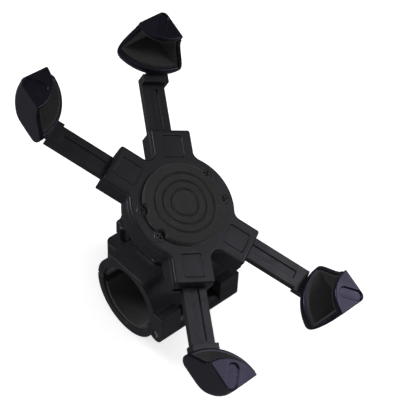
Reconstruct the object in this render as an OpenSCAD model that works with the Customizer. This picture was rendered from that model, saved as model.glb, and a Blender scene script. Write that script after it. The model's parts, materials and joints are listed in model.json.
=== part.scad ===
// Phone mount for a handlebar: four corner claws on geared arms, a hub with a ball joint,
// and a hinged clamp. Millimetres. The origin is the middle of the clamp's bore, X runs along
// the bar, Y along the long side of the phone and Z out of its screen.

/* [Handlebar clamp] */
// Diameter of the handlebar
bar_d = 31.8; // [28:0.1:35]
// Length of the clamp along the bar
clamp_len = 50; // [44:1:60]
// Thickness of the rubber liners
liner_t = 1.6; // [1:0.1:2.4]
// Wall of the clamp around its liners
clamp_wall = 3; // [2.4:0.1:5]
// Gap between the two clamp halves when closed on the bar
part_gap = 1; // [0.6:0.1:2]
// Diameter of the clamp screw
screw_d = 5; // [4:0.1:6]
// Diameter of the hinge pin
hinge_d = 4; // [3:0.1:5]
// Diameter of the knob on the clamp screw
knob_d = 15; // [13:0.5:16]
// Lean of the clamp's stem from the axis of the hub, in degrees
stem_lean = 30; // [0:1:32]

/* [Ball joint] */
// Diameter of the ball
ball_d = 17; // [15:0.1:18]
// Diameter of the neck under the ball
neck_d = 7.2; // [5:0.1:8]
// Height of the ball's centre over its flange
neck_rise = 12.4; // [12.4:0.1:18]
// Thickness of the ball's flange
flange_t = 2.5; // [2:0.1:4]
// Thickness of the slip liner over the ball
slip_t = 0.75; // [0.5:0.05:1.2]
// Wall of the cup, of the collet and of the lock ring
socket_wall = 1.3; // [1:0.1:2]
// Wall of the lock ring
ring_wall = 2.4; // [2:0.1:4]

/* [Hub] */
// Radius of the hub's middle
hub_r = 26; // [24:0.5:30]
// Reach of the arm guides from the middle
guide_reach = 38; // [34:0.5:38]
// Wall beside the arm guides
guide_wall = 2; // [1.6:0.1:3]
// Thickness of the front cover
cover_t = 3.6; // [3.2:0.1:5]
// Thickness of the rubber pad on the cover
rest_t = 2.4; // [1.5:0.1:4]
// Radius of the rubber pad on the cover
rest_r = 20; // [15:0.5:22]
// Teeth on the pinion
pinion_teeth = 12; // [12:1:14]
// Module of the pinion and the racks
gear_module = 0.8; // [0.7:0.05:0.9]

/* [Arms] */
// Thickness of each arm
arm_t = 3.6; // [3:0.1:5]
// Thickness of the rack behind its teeth
rack_back = 2.2; // [1.8:0.1:3]
// Travel of the arms inward from the rest position
travel_in = 26; // [20:0.5:27]
// Travel of the arms outward from the rest position
travel_out = 6; // [2:0.5:8]

/* [Claws] */
// Width over the claws at the rest position
grip_w = 85.2; // [80:0.2:92]
// Length over the claws at the rest position
grip_l = 164.8; // [158:0.2:172]
// Thickest phone that fits between floor pad and flap pad
pocket_h = 10; // [8:0.5:13]
// Wall of the claws
claw_wall = 2.2; // [1.8:0.1:3]
// Radius of the flap over the phone's corner
flap_r = 15.8; // [13:0.1:17]
// Thickness of the flap
flap_t = 3; // [2.4:0.1:4]
// Reach of the claw's walls from its corner
claw_reach = 24.6; // [22:0.1:26]
// Thickness of the soft lining in the claws
lining_t = 1.1; // [0.8:0.1:1.6]

/* [Hidden] */

black = "#1b1c20";
slate = "#2c2d36";
rubber = "#121214";
steel = "#b9bcc2";
amber = "#8a8d92";
$fn = 64;
far = 200;
// Clearances: a running fit, a sliding fit, a seat, and a screw in its hole
run = 0.05;
slide = 0.1;
fit = 0.05;
screw_gap = 0.2;
slot_half = 0.35;

// Clamp, in its own frame: bar along X, stem along Z
bar_r = bar_d / 2;
bore_r = bar_r + liner_t;
clamp_r = bore_r + clamp_wall;
seat_z = clamp_r;
platform_w = 26;
platform_low = 10;
platform_round = 2;
ear_w = 26;
ear_y = clamp_r + 5.5;
ear_end = ear_y + 5.5;
ear_top = 8;
ear_under = -9.5;
ear_round = 4;
part_z = 1.5;
barrel_r = 3.3;
barrel_len = 16;
barrel_z = -4;
jaw_open = 7.9;
hinge_y = -clamp_r - 1.5;
jaw_half_drop = (ear_y - hinge_y) * sin(jaw_open / 2);
hinge_z = barrel_z - jaw_half_drop;
knuckle_r = hinge_d / 2 + 2.4;
knuckle_gap = 0.4;
knuckle_half = ear_w / 2;
screw_r = screw_d / 2;
screw_end = ear_under - 5;
jaw_slot_half = screw_r + 2 * screw_gap;
jaw_slot_back = 1.6;
washer_t = 1;
washer_r = screw_r + 3;
knob_h = 8;
knob_z = ear_top + washer_t;
knob_r = knob_d / 2;
knob_lobes = 8;
lobe_cut_r = 2.6;
lobe_cut_out = 1.4;
hex_r = screw_r + 1.6;
hex_h = 4;
hex_z = knob_z + 1;
tail_r = screw_r - 0.4;
liner_edge = 1.2;

// Ball joint, heights from the ball's centre
ball_r = ball_d / 2;
neck_r = neck_d / 2;
ball_z = seat_z + flange_t + neck_rise;
flange_x = 26;
flange_y = 20;
stud_x = 9.5;
stud_y = 7;
stud_screw_r = 1.1;
stud_head_r = 2.1;
stud_screw_len = 4;
slip_in = ball_r + run;
slip_out = slip_in + slip_t;
slip_low = -2;
slip_hole_r = 3.4;
cup_in = slip_out + run;
cup_r = cup_in + socket_wall;
cup_low = -3.1;
cup_top = cup_in + 0.35;
cup_hole_r = 3.6;
collet_in = cup_r + run;
collet_r = collet_in + socket_wall;
collet_low = cup_low - 0.1;
collet_slots = 6;
ring_in = collet_r + run;
ring_r = ring_in + ring_wall;
ring_low = -5;
ring_lip = 1.6;
ring_hole_r = cup_in + 0.3;
ring_edge = 2;
ring_flutes = 24;

// Hub, heights from the ball's centre
hub_back = cup_top - 1.2;
ring_top = hub_back - 0.9;
socket_top = cup_top + run;
floor_h = socket_top + 1.85;
level_gap = 0.2;
level_h = [floor_h + slide, floor_h + slide + arm_t + level_gap];
hub_top = level_h[1] + arm_t + slide;
cover_top = hub_top + cover_t;
rest_top = cover_top + rest_t;
pin_r = 2;
boss_r = 3;
spring_room_r = 13.5;
spring_room_h = 2;
spring_t = 0.5;
spring_band = 1.3;
spring_turns = 4;
spring_gap = 0.25;
cover_screw_r = 1.25;
cover_head_r = 2.4;
cover_screw_ring = 21;
cover_screw_turn = 20;
cover_screw_len = 10;
edge = 1.2;
seam = 0.25;
guide_edge_share = 0.8;

// Gears: a stub-tooth rack on the left of each arm, seen looking outward
pitch_r = gear_module * pinion_teeth / 2;
gear_pitch = PI * gear_module;
pressure = 25;
pinion_tip = pitch_r + 0.8 * gear_module;
rack_tip = pitch_r - 0.7 * gear_module;
gear_root_gap = 0.15;
pinion_root = rack_tip - gear_root_gap;
rack_root = pinion_tip + gear_root_gap;
rack_side = rack_root + rack_back;
backlash = 0.09;
arm_inner = rack_tip - 0.5;
channel_half = rack_side + slide;
guide_half = channel_half + guide_wall;

// Arms, distances along the diagonal at rest
half_w = grip_w / 2;
half_l = grip_l / 2;
arm_angle = atan2(half_l, half_w);
diagonal = norm([half_w, half_l]);
rack_start = -travel_out - 6;
rack_end = travel_in + pinion_tip + 1;
hub_mid_r = max(hub_r, guide_half / cos(arm_angle) + 2 * edge);
tongue_half = 5;
tongue_end = diagonal - 15.8;
step_start = guide_reach + travel_in + 1;
step_len = 4;
tongue_h = level_h[1];
ANGLES = [arm_angle, 180 - arm_angle, 180 + arm_angle, -arm_angle];
SIDES = [[1, 1], [-1, 1], [-1, -1], [1, -1]];
LEVELS = [0, 1, 0, 1];

// Claws, heights from the ball's centre
lining_floor = 1.5;
lining_flap = 1;
lining_back = 0.8;
pocket_floor = rest_top - lining_floor;
flap_under = rest_top + pocket_h + lining_flap;
claw_top = flap_under + flap_t;
claw_back = tongue_h - 2.3;
belly_h = claw_back + 8.5;
belly_r = 13;
flap_root = flap_r + 0.5;
end_round = [14, 20];
side_round = [4, 5];
corner_r = 3;
rim = 0.5;
groove_w = 5;
groove_from = 4.6;
groove_to = 11.2;
groove_deep = 1;
claw_screw_at = tongue_end - 4.5;
claw_screw_r = 1.3;
claw_head_r = 2.7;
claw_head_deep = 1.4;

// Puts a piece drawn in the clamp's frame in its place
module on_clamp() {
    rotate([-stem_lean, 0, 0]) children();
}

// Puts a piece drawn from the ball's centre in its place
module on_head() {
    translate([0, ball_z * sin(stem_lean), ball_z * cos(stem_lean)]) children();
}

// Cylinder along X between two places
module bar_x(r, from, to) {
    translate([from, 0, 0]) rotate([0, 90, 0]) cylinder(r = r, h = to - from);
}

// Cylinder along Z between two heights
module post(r, from, to) {
    translate([0, 0, from]) cylinder(r = r, h = to - from);
}

// Box between two corners
module span(low, high) {
    translate(low) cube(high - low);
}

// Round post with a chamfer at its top or bottom end
module chamfered_post(r, from, to, low_edge, high_edge) {
    translate([0, 0, from]) rotate_extrude() polygon([[0, 0], [r - low_edge, 0], [r, low_edge],
        [r, to - from - high_edge], [r - high_edge, to - from], [0, to - from]]);
}

// Block with round upright edges, from one height to another
module rounded_block(x, y, r, from, to) {
    translate([0, 0, from]) linear_extrude(to - from) {
        square([x, y - 2 * r], center = true);
        square([x - 2 * r, y], center = true);
        for (sx = [-1, 1], sy = [-1, 1]) translate([sx * (x / 2 - r), sy * (y / 2 - r)]) circle(r);
    }
}

// Countersunk screw standing on its tip, its head's face at height top
module sunk_screw(r, head_r, length, top) {
    difference() {
        union() {
            post(r, top - length, top - head_r + r);
            translate([0, 0, top - head_r + r]) cylinder(r1 = r, r2 = head_r, h = head_r - r);
        }
        cross_slot(head_r * 0.6, top - 0.7, top + 1);
    }
}

// Cross slot for a driver
module cross_slot(reach, from, to) {
    for (a = [0, 90]) rotate([0, 0, a])
        span([-reach, -slot_half, from], [reach, slot_half, to]);
}

// The room that such a screw needs
module sunk_hole(r, head_r, length, top) {
    post(r + fit, top - length - fit, top);
    translate([0, 0, top - head_r + r]) cylinder(r1 = r + fit, r2 = head_r + fit, h = head_r - r);
    post(head_r + fit, top, top + 1);
}

// Ears that the clamp screw draws together
module ear(from, to) {
    flat = ear_w / 2 - ear_round;
    span([-ear_w / 2, 0, from], [ear_w / 2, ear_end - ear_round, to]);
    for (side = [-1, 1]) translate([side * flat, ear_end - ear_round, 0]) post(ear_round, from, to);
    span([-flat, 0, from], [flat, ear_end, to]);
}

// Outer knuckles of the hinge, with the webs that join them to the saddle
module saddle_knuckles(grow) {
    for (side = [-1, 1]) {
        low = side > 0 ? knuckle_half : -clamp_len / 2;
        high = side > 0 ? clamp_len / 2 : -knuckle_half;
        translate([0, hinge_y, hinge_z]) bar_x(knuckle_r + grow, low - grow, high + grow);
        span([low - grow, hinge_y - knuckle_r, hinge_z], [high + grow, -bore_r + 4, part_z + 4]);
    }
}

// Middle knuckle of the hinge, with its web to the jaw
module jaw_knuckle(grow) {
    reach = knuckle_half - knuckle_gap;
    translate([0, hinge_y, hinge_z]) bar_x(knuckle_r + grow, -reach - grow, reach + grow);
}

module saddle() {
    color(black) on_clamp() difference() {
        union() {
            intersection() {
                bar_x(clamp_r + 1, -clamp_len / 2, clamp_len / 2);
                span([-far, -far, part_z + part_gap / 2], [far, far, seat_z]);
            }
            rounded_block(clamp_len, platform_w, platform_round, platform_low, seat_z);
            ear(part_z + part_gap / 2, ear_top);
            saddle_knuckles(0);
        }
        bar_x(bore_r, -far, far);
        jaw_knuckle(knuckle_gap);
        span([-knuckle_half, -far, -far], [knuckle_half, 0, part_z + part_gap / 2]);
        translate([0, hinge_y, hinge_z]) bar_x(hinge_d / 2 + fit, -far, far);
        translate([0, ear_y, 0]) post(screw_r + screw_gap, -far, far);
        translate([0, ear_y, 0]) post(knob_r + 2 * screw_gap, ear_top, far);
        for (x = [-stud_x, stud_x], y = [-stud_y, stud_y]) translate([x, y, 0])
            post(stud_screw_r + fit, seat_z - stud_screw_len - fit, seat_z + 1);
    }
}

module jaw() {
    color(black) on_clamp() difference() {
        union() {
            intersection() {
                bar_x(clamp_r + 1, -clamp_len / 2, clamp_len / 2);
                span([-far, -far, -far], [far, far, part_z - part_gap / 2]);
            }
            ear(ear_under, part_z - part_gap / 2);
            jaw_knuckle(0);
            span([-knuckle_half + knuckle_gap, hinge_y, hinge_z - knuckle_r],
                [knuckle_half - knuckle_gap, -bore_r + 4, hinge_z]);
        }
        bar_x(bore_r, -far, far);
        saddle_knuckles(knuckle_gap);
        span([-far, -far, hinge_z + knuckle_r], [far, -bore_r / 2, far]);
        translate([0, hinge_y, hinge_z]) bar_x(hinge_d / 2 + run, -far, far);
        translate([0, ear_y, barrel_z]) bar_x(barrel_r + run, -barrel_len / 2 - fit, barrel_len / 2 + fit);
        span([-jaw_slot_half, ear_y - screw_r - jaw_slot_back, ear_under - 1], [jaw_slot_half, far, far]);
    }
}

// Rubber half ring between two angles around the bar, measured from +Y towards +Z
module half_liner(from, to) {
    inset = liner_edge;
    rotate([0, 90, 0]) translate([0, 0, -clamp_len / 2 + inset])
        rotate([0, 0, 90 + from]) rotate_extrude(angle = to - from)
            translate([bar_r, 0]) square([liner_t, clamp_len - 2 * inset]);
}

module saddle_liner() {
    color(rubber) on_clamp() half_liner(10, 170);
}

module jaw_liner() {
    color(rubber) on_clamp() half_liner(208, 352);
}

module hinge_pin() {
    color(steel) on_clamp() translate([0, hinge_y, hinge_z])
        bar_x(hinge_d / 2, -clamp_len / 2 + 0.5, clamp_len / 2 - 0.5);
}

module barrel_nut() {
    color(steel) on_clamp() translate([0, ear_y, barrel_z]) difference() {
        bar_x(barrel_r, -barrel_len / 2, barrel_len / 2);
        post(screw_r + screw_gap, -far, far);
    }
}

module clamp_screw() {
    color(steel) on_clamp() translate([0, ear_y, 0]) {
        chamfered_post(screw_r, screw_end, hex_z, 0.6, seam);
        translate([0, 0, hex_z]) cylinder(r = hex_r, h = hex_h, $fn = 6);
        post(tail_r, hex_z + hex_h, knob_z + knob_h + 0.6);
    }
}

module screw_knob() {
    color(black) on_clamp() translate([0, ear_y, 0]) difference() {
        chamfered_post(knob_r, knob_z, knob_z + knob_h, 0.6, 1.2);
        post(screw_r + fit, knob_z - 1, hex_z + fit);
        translate([0, 0, hex_z]) cylinder(r = hex_r + fit, h = hex_h + fit, $fn = 6);
        post(tail_r + fit, knob_z, knob_z + knob_h + 1);
        for (k = [1 : knob_lobes]) rotate([0, 0, (k + 0.5) * 360 / knob_lobes])
            translate([knob_r + lobe_cut_out, 0, 0]) post(lobe_cut_r, knob_z - 1, knob_z + knob_h + 1);
    }
}

module screw_washer() {
    color(steel) on_clamp() translate([0, ear_y, 0]) difference() {
        post(washer_r, ear_top, knob_z);
        post(screw_r + screw_gap, ear_top - 1, knob_z + 1);
    }
}

module ball_stud() {
    color(steel) on_clamp() difference() {
        union() {
            translate([0, 0, ball_z]) sphere(ball_r);
            post(neck_r, seat_z + flange_t, ball_z);
            rounded_block(flange_x, flange_y, 4, seat_z, seat_z + flange_t);
        }
        for (x = [-stud_x, stud_x], y = [-stud_y, stud_y]) translate([x, y, 0])
            sunk_hole(stud_screw_r, stud_head_r, 20, seat_z + flange_t);
    }
}

module stud_screws() {
    color(steel) on_clamp() for (x = [-stud_x, stud_x], y = [-stud_y, stud_y])
        translate([x, y, 0])
            sunk_screw(stud_screw_r, stud_head_r, stud_screw_len + flange_t, seat_z + flange_t);
}

module slip_liner() {
    color(amber) on_head() difference() {
        sphere(slip_out);
        sphere(slip_in);
        span([-far, -far, -far], [far, far, slip_low]);
        post(slip_hole_r, 0, far);
    }
}

module socket_cup() {
    color(slate) on_head() difference() {
        post(cup_r, cup_low, cup_top);
        sphere(cup_in);
        post(cup_hole_r, 0, far);
    }
}

module lock_ring() {
    color(black) on_head() difference() {
        chamfered_post(ring_r, ring_low, ring_top, ring_edge, 0.8);
        post(ring_in, ring_low + ring_lip, far);
        post(ring_hole_r, ring_low - 1, far);
        for (k = [1 : ring_flutes]) rotate([0, 0, k * 360 / ring_flutes])
            translate([ring_r + 0.5, 0, 0]) post(1.1, ring_low + ring_edge + 0.8, far);
    }
}

// Outline of the hub between two heights, with one guide along each diagonal. The guides'
// edges are cut a little less than the middle's.
module hub_form(from, to, low_edge, high_edge) {
    low = guide_edge_share * low_edge;
    high = guide_edge_share * high_edge;
    chamfered_post(hub_mid_r, from, to, low_edge, high_edge);
    for (a = ANGLES) rotate([0, 0, a]) rotate([90, 0, 90]) linear_extrude(guide_reach)
        polygon([[-guide_half + low, from], [guide_half - low, from], [guide_half, from + low],
            [guide_half, to - high], [guide_half - high, to], [high - guide_half, to],
            [-guide_half, to - high], [-guide_half, from + low]]);
}

// Copies a piece to the four cover screws
module at_cover_screws() {
    for (a = [0, 180], side = [-1, 1]) rotate([0, 0, a + side * cover_screw_turn])
        translate([cover_screw_ring, 0, 0]) children();
}

module rear_housing() {
    color(black) on_head() difference() {
        union() {
            hub_form(hub_back, hub_top, 2, seam);
            post(collet_r, collet_low, hub_back + 1);
        }
        post(collet_in, collet_low - 1, socket_top);
        post(pin_r + fit, 0, far);
        for (i = [0, 1]) rotate([0, 0, ANGLES[i]])
            span([-far, -channel_half, level_h[LEVELS[i]] - slide],
                [far, channel_half, LEVELS[i] == 1 ? far : level_h[0] + arm_t + slide]);
        for (k = [1 : collet_slots]) rotate([0, 0, (k + 0.5) * 360 / collet_slots])
            span([0, -0.6, collet_low - 1], [collet_r + 1, 0.6, hub_back - 3.5]);
        at_cover_screws() post(cover_screw_r + fit, hub_top - cover_screw_len + cover_t - fit, far);
    }
}

module front_cover() {
    color(black) on_head() difference() {
        hub_form(hub_top, cover_top, seam, edge);
        post(spring_room_r, hub_top - 1, hub_top + spring_room_h);
        post(pin_r + fit, hub_top - 1, hub_top + spring_room_h + 0.8);
        at_cover_screws() sunk_hole(cover_screw_r, cover_head_r, cover_screw_len, cover_top);
        for (a = ANGLES) rotate([0, 0, a])
            span([rest_r + 4, -5, cover_top - 0.6], [guide_reach - 3, 5, far]);
    }
}

module rest_pad() {
    color(rubber) on_head() difference() {
        chamfered_post(rest_r, cover_top, rest_top, seam, 0.7);
        at_cover_screws() post(cover_head_r + 0.6, cover_top - 1, far);
        for (r = [6, 10, 14]) translate([0, 0, rest_top - 0.8]) rotate_extrude()
            translate([r, 0]) square([1.4, 2]);
    }
}

module cover_screws() {
    color(steel) on_head() at_cover_screws()
        sunk_screw(cover_screw_r, cover_head_r, cover_screw_len, cover_top);
}

module pinion_pin() {
    color(steel) on_head() post(pin_r, socket_top + 0.1, hub_top + spring_room_h + 0.7);
}

// Involute of the base circle, unrolled by t degrees
function involute(base, t) = let (s = t * PI / 180)
    [base * (cos(t) + s * sin(t)), base * (sin(t) - s * cos(t))];

function turned(p, a) = [p[0] * cos(a) - p[1] * sin(a), p[0] * sin(a) + p[1] * cos(a)];

// Outline of the pinion: each tooth is two mirrored involutes on the base circle
function pinion_points() =
    let (base = pitch_r * cos(pressure),
        roll_pitch = tan(pressure) * 180 / PI,
        roll_tip = sqrt(pow(pinion_tip / base, 2) - 1) * 180 / PI,
        half_tooth = 90 / pinion_teeth - backlash / pitch_r * 90 / PI
            + roll_pitch - pressure,
        steps = 5,
        flank = [for (i = [0 : steps]) turned(involute(base, roll_tip * i / steps), -half_tooth)])
    [for (k = [0 : pinion_teeth - 1]) let (a = k * 360 / pinion_teeth) each concat(
        [turned([pinion_root, 0], a - half_tooth)],
        [for (p = flank) turned(p, a)],
        [for (i = [steps : -1 : 0]) turned([flank[i][0], -flank[i][1]], a)],
        [turned([pinion_root, 0], a + half_tooth)])];

module pinion() {
    color(amber) on_head() difference() {
        union() {
            translate([0, 0, floor_h + slide]) linear_extrude(hub_top - floor_h - 2 * slide)
                polygon(pinion_points());
            post(boss_r, hub_top - slide, hub_top + spring_room_h - 0.3);
        }
        post(pin_r + run, 0, far);
    }
}

module return_spring() {
    turns = spring_turns * 360;
    inner = boss_r + spring_gap;
    growth = (spring_room_r - spring_gap - spring_t - inner) / turns;
    points = [for (t = [0 : 18 : turns]) (inner + growth * t) * [cos(t), sin(t)]];
    outside = [for (t = [turns : -18 : 0]) (inner + spring_t + growth * t) * [cos(t), sin(t)]];
    color(steel) on_head() translate([0, 0, hub_top + 0.35]) linear_extrude(spring_band)
        polygon(concat(points, outside));
}

// Rack outline in the arm's frame, its teeth turned towards the pinion
function rack_points(phase) =
    let (half = gear_pitch / 4 - backlash / 2,
        rise_in = (pitch_r - rack_tip) * tan(pressure),
        rise_out = (rack_root - pitch_r) * tan(pressure),
        first = ceil((rack_start + half + rise_out - phase) / gear_pitch),
        last = floor((rack_end - half - rise_out - phase) / gear_pitch))
    concat([[rack_end, rack_side], [rack_start, rack_side], [rack_start, rack_root]],
        [for (k = [first : last]) let (x = phase + k * gear_pitch) each
            [[x - half - rise_out, rack_root], [x - half + rise_in, rack_tip],
             [x + half - rise_in, rack_tip], [x + half + rise_out, rack_root]]],
        [[rack_end, rack_root]]);

// Place of a rack tooth along its arm: a gap between pinion teeth faces it
function rack_phase(angle) =
    let (turn = (angle + 90) * pinion_teeth / 360)
    (turn - floor(turn) + 0.5) * gear_pitch;

module arm(i) {
    low = level_h[LEVELS[i]];
    color(black) on_head() rotate([0, 0, ANGLES[i]]) difference() {
        union() {
            translate([0, 0, low]) linear_extrude(arm_t) polygon(rack_points(rack_phase(ANGLES[i])));
            span([rack_end - 0.5, -arm_inner, low], [step_start + step_len, rack_side, low + arm_t]);
            span([step_start, -tongue_half, low], [step_start + step_len, rack_side, tongue_h + arm_t]);
            span([step_start, -tongue_half, tongue_h], [tongue_end - 2, tongue_half, tongue_h + arm_t]);
            translate([tongue_end - 2, 0, 0]) {
                span([-0.5, 2 - tongue_half, tongue_h], [2, tongue_half - 2, tongue_h + arm_t]);
                for (side = [-1, 1]) translate([0, side * (tongue_half - 2), 0])
                    post(2, tongue_h, tongue_h + arm_t);
            }
        }
        translate([claw_screw_at, 0, 0]) post(claw_screw_r + fit, 0, far);
        for (z = [low - 1, low + arm_t - 0.7])
            span([rack_end + 4, 0.1, z], [step_start - 2, 4.1, z + 1.7]);
    }
}

// Side view of a claw from its corner's upright edge outward, as radius and height
function claw_sweep() = concat(
    [[0, claw_back]],
    [for (t = [0 : 15 : 90]) [belly_r + (claw_reach - belly_r) * sin(t),
        claw_back + (belly_h - claw_back) * (1 - cos(t))]],
    [for (k = [0.1 : 0.1 : 1.01]) [claw_reach - (claw_reach - flap_root) * k * k * (3 - 2 * k),
        belly_h + (flap_under - belly_h) * k]],
    [[flap_r, flap_under + 0.6], [flap_r, claw_top - rim], [flap_r - rim, claw_top], [0, claw_top]]);

// Outline of a claw seen along one of its walls, with that wall's round towards the back
function claw_outline(inset, round) = concat(
    [for (t = [0 : 10 : 90]) [round[0] - (round[0] - inset) * cos(t),
        claw_back + round[1] - round[1] * sin(t)]],
    [[far, claw_back], [far, claw_top], [inset + rim, claw_top], [inset, claw_top - rim]]);

// Outside of a claw: its corner at the origin, its walls along +X and +Y
module claw_form(inset) {
    intersection() {
        rotate_extrude() polygon(claw_sweep());
        rotate([90, 0, 90]) linear_extrude(far) polygon(claw_outline(inset, end_round));
        translate([0, far, 0]) rotate([90, 0, 0]) linear_extrude(far)
            polygon(claw_outline(inset, side_round));
        translate([inset + corner_r, inset + corner_r, 0]) linear_extrude(far) {
            circle(corner_r);
            translate([0, -corner_r]) square(far);
            translate([-corner_r, 0]) square(far);
        }
    }
}

// Puts a piece drawn from a claw's corner at one of the four corners
module at_corner(i) {
    translate([SIDES[i][0] * half_w, SIDES[i][1] * half_l, 0])
        mirror([SIDES[i][0] > 0 ? 1 : 0, 0, 0]) mirror([0, SIDES[i][1] > 0 ? 1 : 0, 0]) children();
}

module claw(i) {
    color(black) on_head() difference() {
        at_corner(i) difference() {
            claw_form(0);
            span([claw_wall, claw_wall, pocket_floor], [far, far, flap_under]);
            rotate([0, 0, 45]) {
                span([groove_from, -groove_w / 2, claw_top - groove_deep], [groove_to, groove_w / 2, far]);
                for (r = [groove_from, groove_to]) translate([r, 0, 0])
                    post(groove_w / 2, claw_top - groove_deep, far);
            }
        }
        rotate([0, 0, ANGLES[i]]) {
            span([step_start, -tongue_half - fit, tongue_h - fit],
                [tongue_end + fit, tongue_half + fit, tongue_h + arm_t + fit]);
            span([step_start, -tongue_half - slide, 0],
                [step_start + step_len + slide, rack_side + slide, tongue_h + arm_t + fit]);
            translate([claw_screw_at, 0, 0]) {
                post(claw_screw_r + fit, 0, pocket_floor - 1);
                post(claw_head_r + fit, 0, claw_back + claw_head_deep);
            }
        }
    }
}

module lining(i) {
    color(rubber) on_head() at_corner(i) difference() {
        intersection() {
            claw_form(claw_wall);
            rotate_extrude() polygon([for (p = claw_sweep()) [max(0, p[0] - lining_back), p[1]]]);
            span([claw_wall, claw_wall, pocket_floor], [far, far, flap_under]);
        }
        span([claw_wall + lining_t, claw_wall + lining_t, pocket_floor + lining_floor],
            [far, far, flap_under - lining_flap]);
    }
}

module claw_screw(i) {
    top = pocket_floor - 1.2;
    color(steel) on_head() rotate([0, 0, ANGLES[i]]) translate([claw_screw_at, 0, 0]) {
        post(claw_screw_r, claw_back + claw_head_deep - 0.1, top);
        difference() {
            post(claw_head_r, claw_back + 0.3, claw_back + claw_head_deep);
            cross_slot(claw_head_r * 0.6, 0, claw_back + 0.9);
        }
    }
}

saddle();
saddle_liner();
jaw();
jaw_liner();
hinge_pin();
barrel_nut();
clamp_screw();
screw_knob();
screw_washer();
ball_stud();
stud_screws();
slip_liner();
socket_cup();
lock_ring();
rear_housing();
front_cover();
rest_pad();
cover_screws();
pinion();
pinion_pin();
return_spring();
arm(0);  // arm_tr
arm(1);  // arm_tl
arm(2);  // arm_bl
arm(3);  // arm_br
claw(0);  // claw_tr
claw(1);  // claw_tl
claw(2);  // claw_bl
claw(3);  // claw_br
lining(0);  // lining_tr
lining(1);  // lining_tl
lining(2);  // lining_bl
lining(3);  // lining_br
claw_screw(0);  // claw_screw_tr
claw_screw(1);  // claw_screw_tl
claw_screw(2);  // claw_screw_bl
claw_screw(3);  // claw_screw_br
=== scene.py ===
"""Looks of a handlebar phone mount: corner claws on geared arms, a hub, a ball joint and a clamp.

Sizes in the classes are millimetres, counted from the ball's centre for the head and from the
middle of the bore for the clamp. Meshes are put into the scene in metres.
"""
import json
import logging
import math
from dataclasses import dataclass
from enum import Enum
from typing import Callable, Sequence

import bpy
import numpy as np
from mathutils import Matrix, Vector

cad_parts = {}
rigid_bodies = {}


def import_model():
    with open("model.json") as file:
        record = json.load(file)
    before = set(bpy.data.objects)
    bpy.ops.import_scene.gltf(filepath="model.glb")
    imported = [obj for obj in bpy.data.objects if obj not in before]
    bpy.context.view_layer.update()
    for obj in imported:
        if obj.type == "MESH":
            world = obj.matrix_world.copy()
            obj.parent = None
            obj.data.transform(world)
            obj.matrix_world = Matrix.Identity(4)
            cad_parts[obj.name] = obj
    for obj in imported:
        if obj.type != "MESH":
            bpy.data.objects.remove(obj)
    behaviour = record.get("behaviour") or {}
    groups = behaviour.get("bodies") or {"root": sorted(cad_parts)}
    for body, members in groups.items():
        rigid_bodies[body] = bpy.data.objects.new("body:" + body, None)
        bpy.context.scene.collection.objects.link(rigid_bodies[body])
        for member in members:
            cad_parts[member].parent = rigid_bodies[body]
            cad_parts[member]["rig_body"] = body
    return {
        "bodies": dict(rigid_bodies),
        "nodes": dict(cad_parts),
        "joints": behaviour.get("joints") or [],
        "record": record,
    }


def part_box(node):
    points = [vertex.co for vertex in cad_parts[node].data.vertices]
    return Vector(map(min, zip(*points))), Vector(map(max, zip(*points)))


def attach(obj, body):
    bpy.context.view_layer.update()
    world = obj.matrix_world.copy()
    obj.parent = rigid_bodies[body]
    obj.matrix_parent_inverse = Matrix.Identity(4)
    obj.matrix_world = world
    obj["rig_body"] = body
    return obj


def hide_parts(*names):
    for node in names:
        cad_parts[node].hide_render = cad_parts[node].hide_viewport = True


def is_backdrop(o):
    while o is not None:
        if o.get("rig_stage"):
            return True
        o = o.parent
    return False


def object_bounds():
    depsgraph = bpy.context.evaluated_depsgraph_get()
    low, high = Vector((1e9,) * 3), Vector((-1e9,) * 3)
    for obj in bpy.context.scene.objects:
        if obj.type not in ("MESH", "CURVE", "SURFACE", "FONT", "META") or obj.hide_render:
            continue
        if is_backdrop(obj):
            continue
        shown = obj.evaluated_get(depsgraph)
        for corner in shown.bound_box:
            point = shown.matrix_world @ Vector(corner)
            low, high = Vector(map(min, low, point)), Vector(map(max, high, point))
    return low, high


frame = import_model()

MM = 0.001
TINY = 1e-9
# Steps that bring a meshed vertex onto its surface, and the least slope that they divide by
SETTLING_STEPS = 3
LEAST_SLOPE = 0.2
# Range of a noise's middle band, where most of its values lie
BAND = (0.35, 0.65)
WIDE_BAND = (0.3, 0.7)
METAL_DUST = (0.09, 0.08, 0.07)
log = logging.getLogger("phone_mount")

Colour = tuple[float, float, float]
Point = tuple[float, float, float]
Field = Callable[[np.ndarray, np.ndarray, np.ndarray], np.ndarray]


# ---------------------------------------------------------------- shapes


def meet(a: np.ndarray, b: np.ndarray, radius: float) -> np.ndarray:
    """Keep what is inside both distance fields, with their shared edge rounded.

    Formula: min(-r, max(a, b)) + |(max(a + r, 0), max(b + r, 0))|.

    Args:
        a: First field, negative inside.
        b: Second field.
        radius: Radius of the round.

    Returns:
        The field of the rounded intersection.
    """
    corner = np.hypot(np.maximum(a + radius, 0), np.maximum(b + radius, 0))
    return np.minimum(-radius, np.maximum(a, b)) + corner


def join(a: np.ndarray, b: np.ndarray, radius: float) -> np.ndarray:
    """Keep what is inside either field, with a fillet: the rounded intersection turned inside out."""
    return -meet(-a, -b, radius)


def cut(a: np.ndarray, b: np.ndarray, radius: float) -> np.ndarray:
    """Take field b's inside out of field a's, with the mouth's edge rounded."""
    return meet(a, -b, radius)


def slab(value: np.ndarray, low: float, high: float) -> np.ndarray:
    """Field of what lies between two values of one coordinate."""
    return np.maximum(low - value, value - high)


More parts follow.
